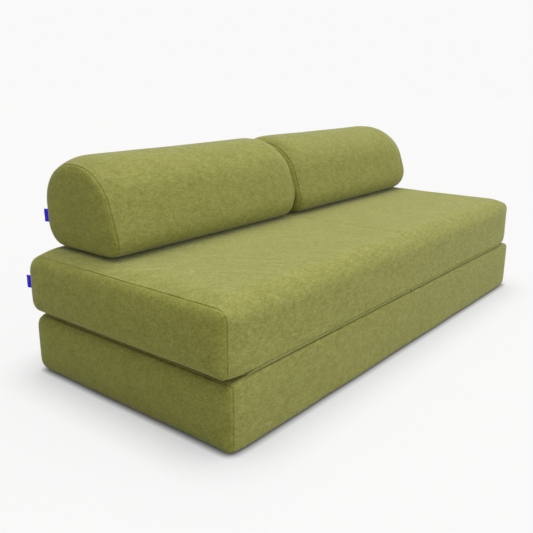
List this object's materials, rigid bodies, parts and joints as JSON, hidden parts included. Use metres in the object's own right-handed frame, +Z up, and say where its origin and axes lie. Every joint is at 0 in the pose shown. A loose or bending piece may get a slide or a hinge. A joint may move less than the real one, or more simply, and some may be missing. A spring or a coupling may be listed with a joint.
{
  "type": "sofa bed",
  "caption": "Modular sofa bed: a seat block folds forward off a base block to lie level as a bed, with loose D-shaped bolsters as the backrest.",
  "frame": {"origin": "on the floor under the middle of the stacked blocks", "axes": "+X along the length to the right as one sits, +Y from the front to the back, +Z up"},
  "size_m": [2.032, 0.9132, 0.7326],
  "materials": {
    "cover_fabric": "matte",
    "underside_cloth": "matte",
    "ribbon": "satin",
    "foam": "matte",
    "zip_tape": "matte",
    "zip_metal": "satin"
  },
  "bodies": {
    "base": {"base_band": "cover_fabric", "base_end_left": "cover_fabric", "base_end_right": "cover_fabric", "base_foam_core": "foam", "base_underside": "underside_cloth", "base_zip_tape": "zip_tape", "hinge_top_leaf_left": "cover_fabric", "hinge_top_leaf_right": "cover_fabric"},
    "seat": {"hinge_front_leaf_left": "cover_fabric", "hinge_front_leaf_right": "cover_fabric", "seat_band_left": "cover_fabric", "seat_band_right": "cover_fabric", "seat_end_left": "cover_fabric", "seat_end_right": "cover_fabric", "seat_foam_core": "foam", "seat_ribbon_tab": "ribbon", "seat_underside": "cover_fabric", "seat_zip_tape": "zip_tape"},
    "bolster_left": {"bolster_left_band": "cover_fabric", "bolster_left_end_left": "cover_fabric", "bolster_left_end_right": "cover_fabric", "bolster_left_foam_core": "foam", "bolster_left_underside": "cover_fabric", "bolster_left_zip_tape": "zip_tape", "bolster_ribbon_tab": "ribbon"},
    "bolster_right": {"bolster_right_band": "cover_fabric", "bolster_right_end_left": "cover_fabric", "bolster_right_end_right": "cover_fabric", "bolster_right_foam_core": "foam", "bolster_right_underside": "cover_fabric", "bolster_right_zip_tape": "zip_tape"},
    "base_zip_pull_body": {"base_zip_pull": "zip_metal"},
    "base_zip_slider_body": {"base_zip_slider": "zip_metal"},
    "bolster_left_zip_pull_body": {"bolster_left_zip_pull": "zip_metal"},
    "bolster_left_zip_slider_body": {"bolster_left_zip_slider": "zip_metal"},
    "bolster_right_zip_pull_body": {"bolster_right_zip_pull": "zip_metal"},
    "bolster_right_zip_slider_body": {"bolster_right_zip_slider": "zip_metal"},
    "seat_zip_pull_body": {"seat_zip_pull": "zip_metal"},
    "seat_zip_slider_body": {"seat_zip_slider": "zip_metal"}
  },
  "joints": [
    {"name": "seat_fold", "type": "hinge", "parent": "base", "child": "seat", "pos_m": [0, -0.4522, 0.2161], "axis": [1, 0, 0], "range_deg": [0, 180]},
    {"name": "bolster_left_lift", "type": "slide", "parent": "seat", "child": "bolster_left", "axis": [0, 0, 1], "range_m": [0, 0.4]},
    {"name": "bolster_right_lift", "type": "slide", "parent": "seat", "child": "bolster_right", "axis": [0, 0, 1], "range_m": [0, 0.4]},
    {"name": "base_zip_run", "type": "slide", "parent": "base", "child": "base_zip_slider_body", "axis": [1, 0, 0], "range_m": [-1.7, 0]},
    {"name": "base_pull_swing", "type": "hinge", "parent": "base_zip_slider_body", "child": "base_zip_pull_body", "pos_m": [0.87, 0.45325, 0.052], "axis": [0, 0, -1], "range_deg": [0, 180]},
    {"name": "seat_zip_run", "type": "slide", "parent": "seat", "child": "seat_zip_slider_body", "axis": [1, 0, 0], "range_m": [-1.7, 0]},
    {"name": "seat_pull_swing", "type": "hinge", "parent": "seat_zip_slider_body", "child": "seat_zip_pull_body", "pos_m": [0.842, 0.45325, 0.2692], "axis": [0, 0, -1], "range_deg": [0, 180]},
    {"name": "bolster_left_zip_run", "type": "slide", "parent": "bolster_left", "child": "bolster_left_zip_slider_body", "axis": [1, 0, 0], "range_m": [-0.64, 0]},
    {"name": "bolster_left_pull_swing", "type": "hinge", "parent": "bolster_left_zip_slider_body", "child": "bolster_left_zip_pull_body", "pos_m": [-0.1435, 0.43525, 0.5326], "axis": [0, 0, -1], "range_deg": [0, 180]},
    {"name": "bolster_right_zip_run", "type": "slide", "parent": "bolster_right", "child": "bolster_right_zip_slider_body", "axis": [1, 0, 0], "range_m": [-0.64, 0]},
    {"name": "bolster_right_pull_swing", "type": "hinge", "parent": "bolster_right_zip_slider_body", "child": "bolster_right_zip_pull_body", "pos_m": [0.7845, 0.43525, 0.5326], "axis": [0, 0, -1], "range_deg": [0, 180]}
  ]
}
